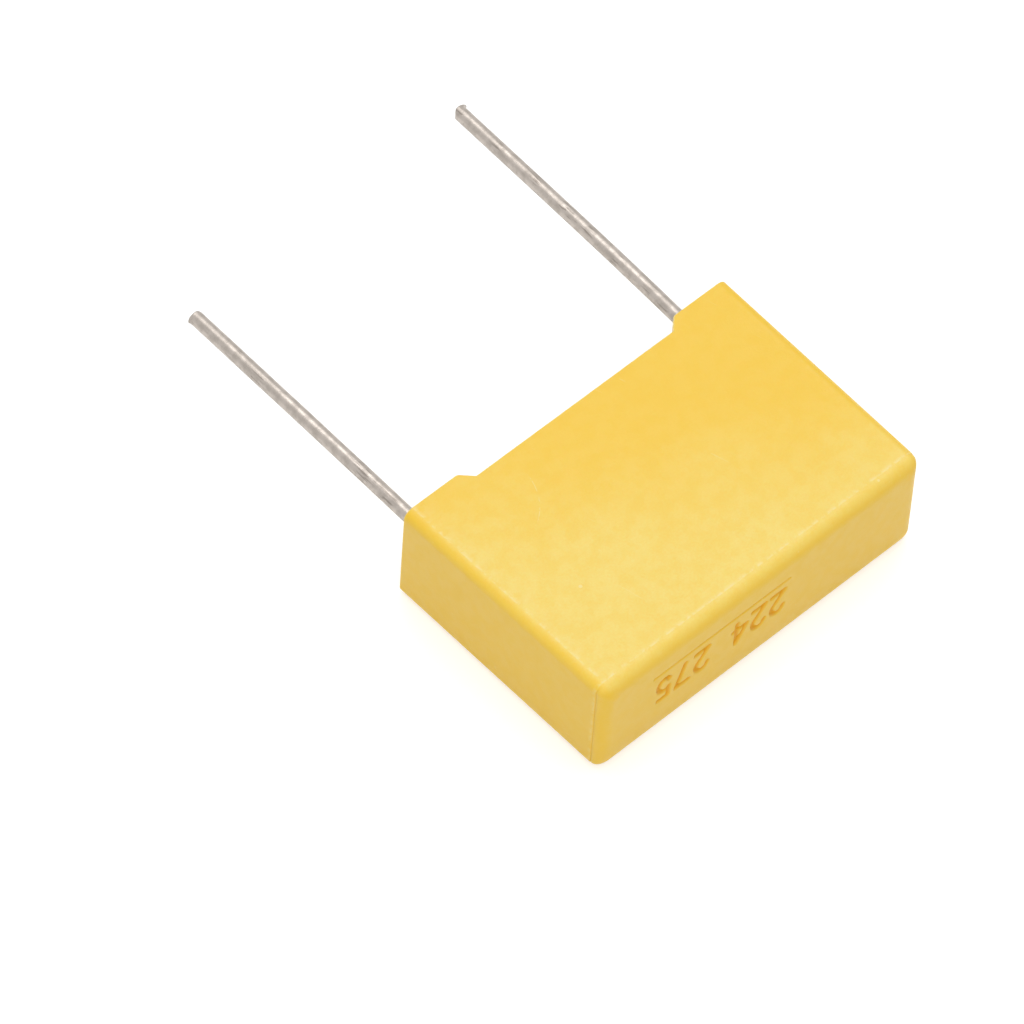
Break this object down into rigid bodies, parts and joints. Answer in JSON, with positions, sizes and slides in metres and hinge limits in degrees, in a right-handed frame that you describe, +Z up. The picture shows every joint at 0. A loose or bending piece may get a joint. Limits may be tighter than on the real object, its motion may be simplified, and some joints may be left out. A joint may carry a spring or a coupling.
{
  "type": "box film capacitor",
  "caption": "Film capacitor in a moulded box with stand-off feet at its open, resin-filled end, and straight tinned leads in line with it.",
  "frame": {"origin": "middle of the large case face that the part lies on, half way between the closed end and the feet", "axes": "+X along the case's width from the left lead to the right lead, +Y out of the open end along the leads, +Z up through the case's thickness"},
  "size_m": [0.0178, 0.0266, 0.0057],
  "materials": {
    "case_plastic": "satin moulded, fine grain",
    "potting_resin": "smooth cast resin",
    "metallised_film": "smooth film, silvery",
    "cover_film": "clear film",
    "sprayed_metal": "rough sprayed metal",
    "tinned_wire": "drawn and tinned, lightly scratched",
    "solder": "smooth solder"
  },
  "bodies": {
    "root": {"case": "case_plastic", "potting_resin": "potting_resin", "film_winding": "metallised_film", "cover_film": "cover_film", "left_end_contact": "sprayed_metal", "right_end_contact": "sprayed_metal", "left_lead": "tinned_wire", "right_lead": "tinned_wire", "left_solder_joint": "solder", "right_solder_joint": "solder"}
  },
  "joints": []
}
